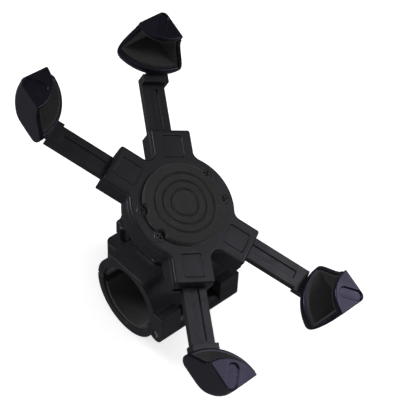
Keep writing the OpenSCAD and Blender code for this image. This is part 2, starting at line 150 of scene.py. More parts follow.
def ellipse_gap(a: np.ndarray, b: np.ndarray, half_a: float, half_b: float) -> np.ndarray:
    """Distance to an ellipse, to first order.

    Formula: (e - 1) e / |(a / A^2, b / B^2)|, where e is the length of (a / A, b / B).

    Args:
        a: Coordinate along the first axis.
        b: Coordinate along the second axis.
        half_a: Half the ellipse's first axis, A.
        half_b: Half the ellipse's second axis, B.

    Returns:
        The distance, negative inside.
    """
    scaled = np.hypot(a / half_a, b / half_b)
    slope = np.hypot(a / half_a**2, b / half_b**2)
    return (scaled - 1) * scaled / np.maximum(slope, TINY)


def net_surface(field: Field, low: Point, high: Point, cell: float) -> tuple[np.ndarray, np.ndarray]:
    """Mesh the zero level of a field over a box.

    The field is sampled on a grid. A cell whose corners differ in sign holds one vertex, at the
    mean of the places where the field crosses zero on the cell's edges. Each grid edge that
    crosses zero joins the four cells around it in one face, turned outward. The vertices then
    step by -f grad f / |grad f|^2, which puts them on the surface.

    Args:
        field: Field of the shape, negative inside.
        low: Lowest corner of a box around the shape, in millimetres.
        high: Highest corner of that box.
        cell: Side of a grid cell.

    Returns:
        The vertices, in millimetres, and the faces as rows of four vertex numbers.
    """
    axes = [np.arange(a, b + cell, cell) for a, b in zip(low, high)]
    values = field(*np.meshgrid(*axes, indexing="ij"))
    cells = tuple(n - 1 for n in values.shape)
    total, count = np.zeros((*cells, 3)), np.zeros(cells)
    crossings = []
    for axis in range(3):
        first = np.take(values, range(cells[axis]), axis)
        second = np.take(values, range(1, cells[axis] + 1), axis)
        crossing = (first < 0) != (second < 0)
        share = np.where(crossing, first / np.where(crossing, first - second, 1), 0)
        crossings.append((crossing, first < 0))
        others = [k for k in range(3) if k != axis]
        for step_a in (0, 1):
            for step_b in (0, 1):
                pick = [slice(None)] * 3
                pick[others[0]] = slice(step_a, cells[others[0]] + step_a)
                pick[others[1]] = slice(step_b, cells[others[1]] + step_b)
                hit = crossing[tuple(pick)]
                count += hit
                total[..., axis] += share[tuple(pick)]
                total[..., others[0]] += hit * step_a
                total[..., others[1]] += hit * step_b
    used = count > 0
    number = np.full(cells, -1)
    number[used] = np.arange(used.sum())
    origin = np.stack(np.nonzero(used), axis=1)
    points = (origin + total[used] / count[used][:, None]) * cell + np.array(low)
    faces = []
    for axis, (crossing, inside_first) in enumerate(crossings):
        a, b = (axis + 1) % 3, (axis + 2) % 3
        inner = [slice(None)] * 3
        inner[a], inner[b] = slice(1, -1), slice(1, -1)
        places = np.stack(np.nonzero(crossing[tuple(inner)]), axis=1)
        places[:, [a, b]] += 1
        ring = []
        for back_a, back_b in ((1, 1), (0, 1), (0, 0), (1, 0)):
            around = places.copy()
            around[:, a] -= back_a
            around[:, b] -= back_b
            ring.append(number[tuple(around.T)])
        quad = np.stack(ring, axis=1)
        outward = inside_first[tuple(places.T)]
        quad[~outward] = quad[~outward][:, ::-1]
        faces.append(quad)
    for _ in range(SETTLING_STEPS):
        slope = field_slope(field, points, cell / 8)
        height = field(*points.T)
        step = height / np.maximum((slope**2).sum(axis=1), LEAST_SLOPE)
        points -= np.clip(step, -cell / 2, cell / 2)[:, None] * slope
    return points, np.concatenate(faces)


def field_slope(field: Field, points: np.ndarray, reach: float) -> np.ndarray:
    """Gradient of a field by central differences.

    Args:
        field: The field.
        points: Places, one a row.
        reach: Distance of the differences.

    Returns:
        The gradient at each place.
    """
    slopes = []
    for axis in range(3):
        offset = np.zeros(3)
        offset[axis] = reach
        slopes.append((field(*(points + offset).T) - field(*(points - offset).T)) / (2 * reach))
    return np.stack(slopes, axis=1)


def put_mesh(name: str, points: np.ndarray, faces: np.ndarray) -> bpy.types.Object:
    """Make a smooth-shaded object at the origin from vertices in millimetres.

    Args:
        name: Name of the piece.
        points: Vertices, one a row.
        faces: Vertex numbers, one face a row.

    Returns:
        The object.
    """
    mesh = bpy.data.meshes.new(name)
    mesh.from_pydata((points * MM).tolist(), [], faces.tolist())
    mesh.polygons.foreach_set("use_smooth", np.full(len(mesh.polygons), True))
    mesh.update()
    piece = bpy.data.objects.new(name, mesh)
    bpy.context.scene.collection.objects.link(piece)
    return piece


def field_piece(name: str, field: Field, low: Point, high: Point, cell: float,
                centre: Sequence[float] = (0, 0, 0), lean: float = 0.0) -> bpy.types.Object:
    """Mesh a field and give its vertices the field's own normals.

    Args:
        name: Name of the piece.
        field: Field of the shape, in its own place.
        low: Lowest corner of a box around it.
        high: Highest corner of that box.
        cell: Side of a grid cell.
        centre: Where the field's own origin goes.
        lean: Turn about X that the field's own directions are given first, in radians.

    Returns:
        The object.
    """
    points, faces = net_surface(field, low, high, cell)
    normals = field_slope(field, points, cell / 4)
    normals /= np.maximum(np.linalg.norm(normals, axis=1), TINY)[:, None]
    turn = np.array(Matrix.Rotation(lean, 3, "X")).T
    piece = put_mesh(name, points @ turn + np.array(centre), faces)
    piece.data.normals_split_custom_set_from_vertices((normals @ turn).tolist())
    return piece


# ---------------------------------------------------------------- materials


class Wiring:
    """Adds and links nodes in one node tree."""

    def __init__(self, tree: bpy.types.NodeTree) -> None:
        """Keep the tree that the nodes go in."""
        self.tree = tree

    def add(self, kind: str, sockets: dict | None = None, **settings: object) -> bpy.types.Node:
        """Add a node, set its options, and link or set its inputs.

        Args:
            kind: Type of the node, without its ShaderNode prefix.
            sockets: Input by name or number, and what goes in: a socket or a value.
            settings: Options of the node.

        Returns:
            The node.
        """
        node = self.tree.nodes.new("ShaderNode" + kind)
        for key, value in settings.items():
            setattr(node, key, value)
        for key, value in (sockets or {}).items():
            if isinstance(value, bpy.types.NodeSocket):
                self.tree.links.new(value, node.inputs[key])
            else:
                node.inputs[key].default_value = value
        return node

    def maths(self, operation: str, *values: object, clamp: bool = False) -> bpy.types.NodeSocket:
        """Result of a Math node on sockets or numbers."""
        node = self.add("Math", dict(enumerate(values)), operation=operation, use_clamp=clamp)
        return node.outputs[0]

    def spread(self, value: bpy.types.NodeSocket, low: float, high: float, start: float = 0.0,
               end: float = 1.0) -> bpy.types.NodeSocket:
        """Result of mapping start..end to low..high, clamped."""
        return self.add("MapRange", {0: value, 1: start, 2: end, 3: low, 4: high}).outputs[0]

    def tint(self, factor: bpy.types.NodeSocket, a: object, b: object) -> bpy.types.NodeSocket:
        """Result of mixing two colours."""
        return self.add("Mix", {0: factor, 6: a, 7: b}, data_type="RGBA").outputs[2]


class Effect(Enum):
    """Shader node groups that the finishes share."""

    EDGES = "softened_edges"
    GRAIN = "moulded_grain"
    HANDLING = "handling_marks"
    DUST = "settled_dust"
    LINES = "drawn_lines"


def new_group(effect: Effect, inputs: dict[str, float], outputs: dict[str, str]
              ) -> tuple[Wiring, bpy.types.Node, bpy.types.Node]:
    """Start a node group with number inputs and the outputs given.

    Args:
        effect: Which group.
        inputs: Name and usual value of each input.
        outputs: Name and socket type of each output.

    Returns:
        The group's wiring, its input node and its output node.
    """
    tree = bpy.data.node_groups.new(effect.value, "ShaderNodeTree")
    for name, value in inputs.items():
        tree.interface.new_socket(name, in_out="INPUT", socket_type="NodeSocketFloat").default_value = value
    for name, kind in outputs.items():
        tree.interface.new_socket(name, in_out="OUTPUT", socket_type=kind)
    return Wiring(tree), tree.nodes.new("NodeGroupInput"), tree.nodes.new("NodeGroupOutput")


def build_edges() -> None:
    """Rounded normals on sharp edges, and a patchy mask of where handling has rubbed them."""
    wire, given, out = new_group(Effect.EDGES, {"Radius": 0.0003, "Rub": 1.0},
                                 {"Normal": "NodeSocketVector", "Mask": "NodeSocketFloat"})
    bevel = wire.add("Bevel", {"Radius": given.outputs["Radius"]}, samples=6)
    flat = wire.add("NewGeometry")
    turn = wire.add("VectorMath", {0: bevel.outputs[0], 1: flat.outputs["True Normal"]},
                    operation="DOT_PRODUCT")
    bend = wire.maths("SUBTRACT", 1.0, turn.outputs["Value"])
    place = wire.add("TexCoord").outputs["Object"]
    patches = wire.add("TexNoise", {"Vector": place, "Scale": 420.0, "Detail": 5.0, "Roughness": 0.62})
    worn = wire.spread(patches.outputs[0], 0.0, 1.0, 0.42, 0.66)
    mask = wire.maths("MULTIPLY", wire.spread(bend, 0.0, 1.0, 0.03, 0.25), worn)
    mask = wire.maths("MULTIPLY", mask, given.outputs["Rub"], clamp=True)
    wire.tree.links.new(bevel.outputs[0], out.inputs["Normal"])
    wire.tree.links.new(mask, out.inputs["Mask"])


def build_grain() -> None:
    """The eroded texture of a mould: fine pits over a slower unevenness."""
    wire, given, out = new_group(Effect.GRAIN, {"Scale": 2600.0},
                                 {"Height": "NodeSocketFloat", "Mottle": "NodeSocketFloat"})
    place = wire.add("TexCoord").outputs["Object"]
    pits = wire.add("TexVoronoi", {"Vector": place, "Scale": given.outputs["Scale"]})
    fine = wire.add("TexNoise", {"Vector": place, "Scale": given.outputs["Scale"], "Detail": 3.0})
    slow = wire.add("TexNoise", {"Vector": place, "Scale": 140.0, "Detail": 2.0})
    height = wire.maths("MULTIPLY_ADD", pits.outputs["Distance"], 0.6, fine.outputs[0])
    height = wire.maths("MULTIPLY_ADD", slow.outputs[0], 0.5, height)
    wire.tree.links.new(height, out.inputs["Height"])
    wire.tree.links.new(slow.outputs[0], out.inputs["Mottle"])


def build_handling() -> None:
    """Smears left by fingers, and hairline scratches that cross them."""
    wire, given, out = new_group(Effect.HANDLING, {"Scale": 60.0},
                                 {"Smear": "NodeSocketFloat", "Scratch": "NodeSocketFloat"})
    place = wire.add("TexCoord").outputs["Object"]
    smear = wire.add("TexNoise", {"Vector": place, "Scale": given.outputs["Scale"], "Detail": 4.0,
                                  "Distortion": 1.6})
    turned = wire.add("Mapping", {"Vector": place, "Rotation": (0.6, 0.3, 0.9),
                                  "Scale": (1.0, 22.0, 9.0)})
    hair = wire.add("TexNoise", {"Vector": turned.outputs[0], "Scale": 190.0, "Detail": 2.0})
    thin = wire.maths("ABSOLUTE", wire.maths("SUBTRACT", hair.outputs[0], 0.5))
    scratch = wire.spread(thin, 1.0, 0.0, 0.0, 0.012)
    patch = wire.spread(smear.outputs[0], 0.0, 1.0, 0.5, 0.7)
    wire.tree.links.new(smear.outputs[0], out.inputs["Smear"])
    wire.tree.links.new(wire.maths("MULTIPLY", scratch, patch), out.inputs["Scratch"])


def build_dust() -> None:
    """A light film that gathers in hollows."""
    wire, given, out = new_group(Effect.DUST, {"Reach": 0.002}, {"Mask": "NodeSocketFloat"})
    hollow = wire.add("AmbientOcclusion", {"Distance": given.outputs["Reach"]}, samples=6)
    place = wire.add("TexCoord").outputs["Object"]
    cloud = wire.add("TexNoise", {"Vector": place, "Scale": 310.0, "Detail": 6.0, "Roughness": 0.7})
    deep = wire.spread(hollow.outputs["AO"], 1.0, 0.0, 0.2, 0.85)
    speck = wire.spread(cloud.outputs[0], 0.0, 1.0, 0.45, 0.75)
    wire.tree.links.new(wire.maths("MULTIPLY", deep, speck), out.inputs["Mask"])


def build_lines() -> None:
    """Fine lines left by drawing or turning metal, as noise stretched along one axis."""
    wire, given, out = new_group(Effect.LINES, {"Scale": 900.0, "Stretch": 0.03},
                                 {"Height": "NodeSocketFloat", "Mottle": "NodeSocketFloat"})
    place = wire.add("TexCoord").outputs["Object"]
    thin = wire.add("CombineXYZ", {0: given.outputs["Stretch"], 1: 1.0, 2: 1.0})
    laid = wire.add("VectorMath", {0: place, 1: thin.outputs[0]}, operation="MULTIPLY")
    lines = wire.add("TexNoise", {"Vector": laid.outputs[0], "Scale": given.outputs["Scale"],
                                  "Detail": 4.0, "Roughness": 0.7})
    slow = wire.add("TexNoise", {"Vector": place, "Scale": 170.0, "Detail": 3.0})
    wire.tree.links.new(lines.outputs[0], out.inputs["Height"])
    wire.tree.links.new(slow.outputs[0], out.inputs["Mottle"])


def build_effects() -> None:
    """Build every shared node group once."""
    for build in (build_edges, build_grain, build_handling, build_dust, build_lines):
        build()


def shade(colour: Colour) -> tuple[float, float, float, float]:
    """A colour with its alpha."""
    return (*colour, 1.0)


@dataclass(frozen=True)
class Finish:
    """What every finish has: a name and the Principled BSDF's plain settings."""

    name: str
    colour: Colour
    rubbed: Colour
    roughness: tuple[float, float]
    edge_radius: float = 0.25
    rub: float = 0.6

    def start(self) -> tuple[bpy.types.Material, Wiring, bpy.types.Node]:
        """Make an empty material with its shader joined to the output.

        Returns:
            The material, its wiring and its Principled BSDF.
        """
        material = bpy.data.materials.new(self.name)
        material.use_nodes = True
        material.node_tree.nodes.clear()
        wire = Wiring(material.node_tree)
        shader = wire.add("BsdfPrincipled")
        wire.add("OutputMaterial", {"Surface": shader.outputs[0]})
        return material, wire, shader

    def effect(self, wire: Wiring, effect: Effect, **values: float) -> bpy.types.bpy_prop_collection:
        """Outputs of a shared group, placed in this material with its own values."""
        node = wire.add("Group", values, node_tree=bpy.data.node_groups[effect.value])
        return node.outputs


@dataclass(frozen=True)
class MouldedPlastic(Finish):
    """Injection-moulded plastic: eroded grain, rubbed edges, smears and a little dust."""

    grain: float = 2600.0
    depth: float = 0.012
    dusty: Colour = (0.10, 0.098, 0.095)
    film: float = 0.25
    gloss: float = 0.5
    cast: Colour = (0.88, 0.87, 1.0)

    def material(self) -> bpy.types.Material:
        """Build the material."""
        material, wire, shader = self.start()
        edges = self.effect(wire, Effect.EDGES, Radius=self.edge_radius * MM, Rub=self.rub)
        grain = self.effect(wire, Effect.GRAIN, Scale=self.grain)
        marks = self.effect(wire, Effect.HANDLING)
        dust = self.effect(wire, Effect.DUST)
        deeper = tuple(0.72 * c for c in self.colour)
        colour = wire.tint(wire.spread(grain["Mottle"], 0, 1, *BAND), shade(deeper), shade(self.colour))
        colour = wire.tint(edges["Mask"], colour, shade(self.rubbed))
        film = wire.maths("MULTIPLY", dust["Mask"], self.film)
        colour = wire.tint(film, colour, shade(self.dusty))
        wire.tree.links.new(colour, shader.inputs["Base Color"])
        rough = wire.spread(marks["Smear"], *self.roughness, *WIDE_BAND)
        rough = wire.maths("MULTIPLY_ADD", edges["Mask"], -0.08, rough)
        rough = wire.maths("MULTIPLY_ADD", film, 0.3, rough, clamp=True)
        wire.tree.links.new(rough, shader.inputs["Roughness"])
        height = wire.maths("MULTIPLY_ADD", marks["Scratch"], -0.6, grain["Height"])
        bump = wire.add("Bump", {"Strength": 1.0, "Distance": self.depth * MM, "Height": height,
                                 "Normal": edges["Normal"]})
        wire.tree.links.new(bump.outputs[0], shader.inputs["Normal"])
        shader.inputs["Specular IOR Level"].default_value = self.gloss
        shader.inputs["Specular Tint"].default_value = shade(self.cast)
        return material


@dataclass(frozen=True)
class SoftRubber(Finish):
    """Moulded rubber: matt, with a pale bloom in its hollows and shiny contact marks."""

    grain: float = 1500.0
    depth: float = 0.03
    bloom: Colour = (0.085, 0.083, 0.080)

    def material(self) -> bpy.types.Material:
        """Build the material."""
        material, wire, shader = self.start()
        edges = self.effect(wire, Effect.EDGES, Radius=self.edge_radius * MM, Rub=self.rub)
        grain = self.effect(wire, Effect.GRAIN, Scale=self.grain)
        marks = self.effect(wire, Effect.HANDLING, Scale=110.0)
        dust = self.effect(wire, Effect.DUST, Reach=0.0015)
        colour = wire.tint(wire.maths("MULTIPLY", dust["Mask"], 0.5), shade(self.colour), shade(self.bloom))
        colour = wire.tint(edges["Mask"], colour, shade(self.rubbed))
        wire.tree.links.new(colour, shader.inputs["Base Color"])
        rough = wire.spread(marks["Smear"], *self.roughness, *WIDE_BAND)
        wire.tree.links.new(rough, shader.inputs["Roughness"])
        bump = wire.add("Bump", {"Strength": 1.0, "Distance": self.depth * MM,
                                 "Height": grain["Height"], "Normal": edges["Normal"]})
        wire.tree.links.new(bump.outputs[0], shader.inputs["Normal"])
        shader.inputs["Specular IOR Level"].default_value = 0.35
        shader.inputs["Sheen Weight"].default_value = 0.15
        shader.inputs["Sheen Roughness"].default_value = 0.45
        return material


@dataclass(frozen=True)
class WorkedMetal(Finish):
    """Drawn or turned metal under a plating or an oxide that has worn through on its edges."""

    lines: float = 900.0
    stretch: float = 0.03
    depth: float = 0.004
    metallic: float = 1.0

    def material(self) -> bpy.types.Material:
        """Build the material."""
        material, wire, shader = self.start()
        edges = self.effect(wire, Effect.EDGES, Radius=self.edge_radius * MM, Rub=self.rub)
        lines = self.effect(wire, Effect.LINES, Scale=self.lines, Stretch=self.stretch)
        marks = self.effect(wire, Effect.HANDLING, Scale=90.0)
        dust = self.effect(wire, Effect.DUST, Reach=0.001)
        darker = tuple(0.8 * c for c in self.colour)
        colour = wire.tint(wire.spread(lines["Mottle"], 0, 1, *BAND), shade(darker), shade(self.colour))
        colour = wire.tint(edges["Mask"], colour, shade(self.rubbed))
        colour = wire.tint(wire.maths("MULTIPLY", dust["Mask"], 0.4), colour, shade(METAL_DUST))
        wire.tree.links.new(colour, shader.inputs["Base Color"])
        rough = wire.spread(marks["Smear"], *self.roughness, *WIDE_BAND)
        rough = wire.maths("MULTIPLY_ADD", lines["Height"], 0.08, rough, clamp=True)
        wire.tree.links.new(rough, shader.inputs["Roughness"])
        bump = wire.add("Bump", {"Strength": 1.0, "Distance": self.depth * MM,
                                 "Height": lines["Height"], "Normal": edges["Normal"]})
        wire.tree.links.new(bump.outputs[0], shader.inputs["Normal"])
        shader.inputs["Metallic"].default_value = self.metallic
        return material


FINISHES: tuple[Finish, ...] = (
    MouldedPlastic("claw_plastic", (0.0052, 0.0050, 0.0066), (0.03, 0.03, 0.034), (0.24, 0.33),
                   edge_radius=0.15, depth=0.005, film=0.08, rub=0.3, gloss=0.42,
                   cast=(0.66, 0.60, 1.0)),
    MouldedPlastic("arm_plastic", (0.0065, 0.0064, 0.0075), (0.04, 0.04, 0.044), (0.34, 0.46), gloss=0.42),
    MouldedPlastic("hub_plastic", (0.0065, 0.0064, 0.0074), (0.04, 0.04, 0.044), (0.36, 0.50),
                   depth=0.014, gloss=0.42),
    MouldedPlastic("clamp_plastic", (0.0095, 0.0095, 0.0105), (0.045, 0.045, 0.05), (0.40, 0.54),
                   edge_radius=0.4, depth=0.018),
    MouldedPlastic("knob_plastic", (0.0080, 0.0080, 0.0088), (0.05, 0.05, 0.052), (0.42, 0.56),
                   depth=0.02, rub=0.8),
    MouldedPlastic("ring_plastic", (0.0080, 0.0080, 0.0088), (0.05, 0.05, 0.052), (0.40, 0.52),
                   depth=0.016, rub=0.8),
    MouldedPlastic("slip_plastic", (0.62, 0.60, 0.54), (0.70, 0.69, 0.66), (0.28, 0.40),
                   dusty=(0.25, 0.23, 0.20), film=0.5, depth=0.004),
    SoftRubber("liner_rubber", (0.0085, 0.0085, 0.0088), (0.03, 0.03, 0.03), (0.62, 0.82)),
    SoftRubber("pad_rubber", (0.0110, 0.0110, 0.0115), (0.035, 0.035, 0.035), (0.60, 0.80)),
    SoftRubber("lining_rubber", (0.0090, 0.0088, 0.0105), (0.03, 0.03, 0.032), (0.55, 0.75)),
    WorkedMetal("bright_steel", (0.60, 0.60, 0.62), (0.78, 0.78, 0.79), (0.20, 0.36)),
    WorkedMetal("spring_steel", (0.30, 0.32, 0.37), (0.55, 0.55, 0.56), (0.22, 0.38), lines=1600.0),
    WorkedMetal("dark_metal", (0.060, 0.060, 0.066), (0.30, 0.30, 0.31), (0.30, 0.46), rub=0.8),
    WorkedMetal("black_screw", (0.050, 0.050, 0.055), (0.28, 0.28, 0.29), (0.28, 0.42), rub=0.9),
)


class Workshop:
    """Hands out the finishes and puts pieces on their bodies."""

    def __init__(self, model: dict) -> None:
        """Build the finishes and note each CAD node's slot and body.
        """
        build_effects()
        self.nodes = model["nodes"]
        self.materials = {finish.name: finish.material() for finish in FINISHES}
        self.slots = {part["node"]: part["material_slot"] for part in model["record"]["subparts"]}

    def dress(self, *nodes: str) -> None:
        """Give CAD nodes their slots' finishes."""
        for node in nodes:
            slots = self.nodes[node].data.materials
            slots.clear()
            slots.append(self.materials[self.slots[node]])
            log.info("dressed %s in %s", node, self.slots[node])

    def fit(self, piece: bpy.types.Object, node: str) -> bpy.types.Object:
        """Let a new piece stand for a CAD node, with that node's finish and body.

        Args:
            piece: The new piece.
            node: The CAD node that it replaces.

        Returns:
            The piece.
        """
        piece.data.materials.append(self.materials[self.slots[node]])
        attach(piece, self.nodes[node]["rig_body"])
        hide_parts(node)
        log.info("made %s for %s: %d faces", piece.name, node, len(piece.data.polygons))
        return piece


# ---------------------------------------------------------------- the mount


def ball_centre(model: dict) -> np.ndarray:
    """The ball's centre in millimetres, from the joint that tilts about it."""
    tilt = next(joint for joint in model["joints"] if joint["name"] == "tilt_x")
    return np.array(tilt["pos_m"]) / MM


@dataclass
class Corner:
    """One corner of the grip: its name and which way it lies from the middle."""

    name: str
    side_x: int
    side_y: int


CORNERS = (Corner("tr", 1, 1), Corner("tl", -1, 1), Corner("bl", -1, -1), Corner("br", 1, -1))


@dataclass
class Claws:
    """The four corner claws and their soft linings."""

    shop: Workshop
    centre: np.ndarray
    wall: float = 2.2
    flap_r: float = 15.8
    flap_root: float = 16.3
    flap_t: float = 3.0
    reach: float = 24.6
    belly_r: float = 13.0
    belly_deep: float = 8.5
    end_round: tuple[float, float] = (14.0, 20.0)
    side_round: tuple[float, float] = (4.0, 5.0)
    corner_r: float = 3.0
    rim: float = 0.5
    lining_back: float = 0.8
    floor_up: float = 10.5
    lining_t: float = 1.1
    lining_floor: float = 1.5
    lining_flap: float = 1.0
    groove_w: float = 5.0
    groove_span: tuple[float, float] = (4.6, 11.2)
    groove_deep: float = 1.0
    tongue_half: float = 5.0
    tongue_up: float = 2.3
    tongue_t: float = 3.6
    tongue_end: float = 76.96
    step_end: float = 69.0
    step_half: float = 8.06
    screw_at: float = 72.46
    screw_head_r: float = 2.75
    screw_sink: float = 1.4
    cell: float = 0.34

    def __post_init__(self) -> None:
        """Take the claws' corners and heights from the CAD nodes."""
        low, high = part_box("claw_tr")
        far_x, far_y, top = np.array(high) / MM - self.centre
        self.half_w, self.half_l, self.top = far_x, far_y, top
        self.back = low[2] / MM - self.centre[2]
        self.under = self.top - self.flap_t
        self.floor = self.back + self.floor_up
        self.angle = math.atan2(self.half_l, self.half_w)

    def build(self) -> None:
        """Make each claw and its lining."""
        for corner in CORNERS:
            for kind, field in (("claw", self.claw_field), ("lining", self.lining_field)):
                self.place(kind, corner, field)

    def place(self, kind: str, corner: Corner, field: Callable[..., np.ndarray]) -> None:
        """Mesh one claw or lining at its corner.

        Args:
            kind: claw or lining.
            corner: Which corner.
            field: Field of the piece in the corner's own directions.
        """
        def at_corner(x: np.ndarray, y: np.ndarray, z: np.ndarray) -> np.ndarray:
            """The piece's field at a place counted from the ball's centre."""
            return field(self.half_w - corner.side_x * x, self.half_l - corner.side_y * y, z, corner, x, y)

        margin = 2 * self.cell
        near = np.array([self.half_w - self.reach, self.half_l - self.reach]) - margin
        far = np.array([self.half_w, self.half_l]) + margin
        sides = np.array([corner.side_x, corner.side_y])
        ends = np.sort(np.stack([near * sides, far * sides]), axis=0)
        low = (*ends[0], self.back - margin)
        high = (*ends[1], self.top + margin)
        piece = field_piece(f"{kind}_moulded_{corner.name}", at_corner, low, high, self.cell, self.centre)
        self.shop.fit(piece, f"{kind}_{corner.name}")

    def swept(self, u: np.ndarray, v: np.ndarray, z: np.ndarray) -> np.ndarray:
        """Field inside the claw's inner side, a curve of radius by height about the corner.

        The radius grows along a quarter ellipse from the back to the belly, and shrinks from there
        by (reach - root) k^2 (3 - 2 k), k being the share of the way up to the flap. In the flap it
        is the flap's own.

        Args:
            u: Distance from the side wall's outside.
            v: Distance from the end wall's outside.
            z: Height.

        Returns:
            The field.
        """
        radius = np.hypot(u, v)
        belly = self.back + self.belly_deep
        low = ellipse_gap(np.maximum(radius - self.belly_r, TINY), np.maximum(belly - z, 0),
                          self.reach - self.belly_r, self.belly_deep)
        share = np.clip((z - belly) / (self.under - belly), 0, 1)
        drawn_in = self.reach - self.flap_root
        lean = 6 * drawn_in * share * (1 - share) / (self.under - belly)
        mid = (radius - self.reach + drawn_in * share**2 * (3 - 2 * share)) / np.hypot(1, lean)
        flap = np.maximum(radius - self.flap_r, self.under - 2 - z)
        return np.where(z < belly, low, np.where(z < self.under, mid, flap))

    def wall_gap(self, across: np.ndarray, z: np.ndarray, rounding: tuple[float, float],
                 inset: float = 0.0) -> np.ndarray:
        """Field inside one outer wall and the back, with an elliptic round between them.

        Args:
            across: Distance from the wall's outside.
            z: Height.
            rounding: Half axes of the round, across and up.
            inset: How far the wall is moved in.

        Returns:
            The field.
        """
        side = np.maximum(rounding[0] - across, 0)
        down = np.maximum(self.back + rounding[1] - z, 0)
        curve = ellipse_gap(side, down, rounding[0] - inset, rounding[1])
        plain = np.maximum(inset - across, self.back - z)
        return np.where((side > 0) | (down > 0), curve, plain)

    def form(self, u: np.ndarray, v: np.ndarray, z: np.ndarray, inset: float = 0.0) -> np.ndarray:
        """Field of the claw's outside, before its pocket."""
        side = self.wall_gap(u, z, self.side_round, inset)
        end = self.wall_gap(v, z, self.end_round, inset)
        walls = meet(side, end, self.corner_r - inset / 2)
        body = meet(walls, self.swept(u, v, z), 0.5)
        return meet(body, z - self.top, self.rim)

    def pocket(self, u: np.ndarray, v: np.ndarray, z: np.ndarray, extra: float = 0.0) -> np.ndarray:
        """Field of the room for the phone's corner, drawn in by an extra lining."""
        walls = meet(self.wall + extra - u, self.wall + extra - v, 1.2 - extra / 2)
        return meet(walls, slab(z, self.floor, self.under), 0.3)

    def claw_field(self, u: np.ndarray, v: np.ndarray, z: np.ndarray, corner: Corner,
                   x: np.ndarray, y: np.ndarray) -> np.ndarray:
        """Field of a claw: its outside less the pocket, the groove and the arm's seat.

        Args:
            u: Distance from the side wall's outside.
            v: Distance from the end wall's outside.
            z: Height.
            corner: Which corner.
            x: Place along X from the middle.
            y: Place along Y from the middle.

        Returns:
            The field.
        """
        body = cut(self.form(u, v, z), self.pocket(u, v, z), 0.35)
        return cut(cut(body, self.groove(u, v, z), 0.22), self.arm_seat(z, corner, x, y), 0.2)

    def groove(self, u: np.ndarray, v: np.ndarray, z: np.ndarray) -> np.ndarray:
        """Field of the groove in the flap: a slot with round ends on the corner's diagonal."""
        along = (u + v) / math.sqrt(2)
        past = along - np.clip(along, *self.groove_span)
        slot = np.hypot(past, (v - u) / math.sqrt(2)) - self.groove_w / 2
        return np.maximum(slot, self.top - self.groove_deep - z)

    def arm_seat(self, z: np.ndarray, corner: Corner, x: np.ndarray, y: np.ndarray) -> np.ndarray:
        """Field of the slot for the arm's tongue, the room for its step and the screw's recess."""
        turn = math.atan2(corner.side_y * math.sin(self.angle), corner.side_x * math.cos(self.angle))
        along = x * math.cos(turn) + y * math.sin(turn)
        across = y * math.cos(turn) - x * math.sin(turn)
        low = self.back + self.tongue_up
        high = low + self.tongue_t + 0.05
        tongue = np.maximum(np.abs(across) - self.tongue_half, along - self.tongue_end)
        tongue = np.maximum(tongue, slab(z, low, high))
        step = np.maximum(slab(across, -self.tongue_half - 0.1, self.step_half), along - self.step_end)
        step = np.maximum(step, z - high)
        recess = np.hypot(along - self.screw_at, across) - self.screw_head_r
        recess = np.maximum(recess, z - self.back - self.screw_sink)
        return np.minimum(np.minimum(tongue, step), recess)

    def lining_field(self, u: np.ndarray, v: np.ndarray, z: np.ndarray, corner: Corner,
                     x: np.ndarray, y: np.ndarray) -> np.ndarray:
        """Field of a lining: the pocket's skin, set back from the claw's inner side."""
        room = slab(z, self.floor + self.lining_floor, self.under - self.lining_flap)
        walls = meet(self.wall + self.lining_t - u, self.wall + self.lining_t - v, 0.8)
        skin = meet(self.pocket(u, v, z), self.swept(u, v, z) + self.lining_back, 0.3)
        skin = meet(skin, self.form(u, v, z) + 0.4, 0.2)
        return cut(skin, np.maximum(walls, room), 0.3)


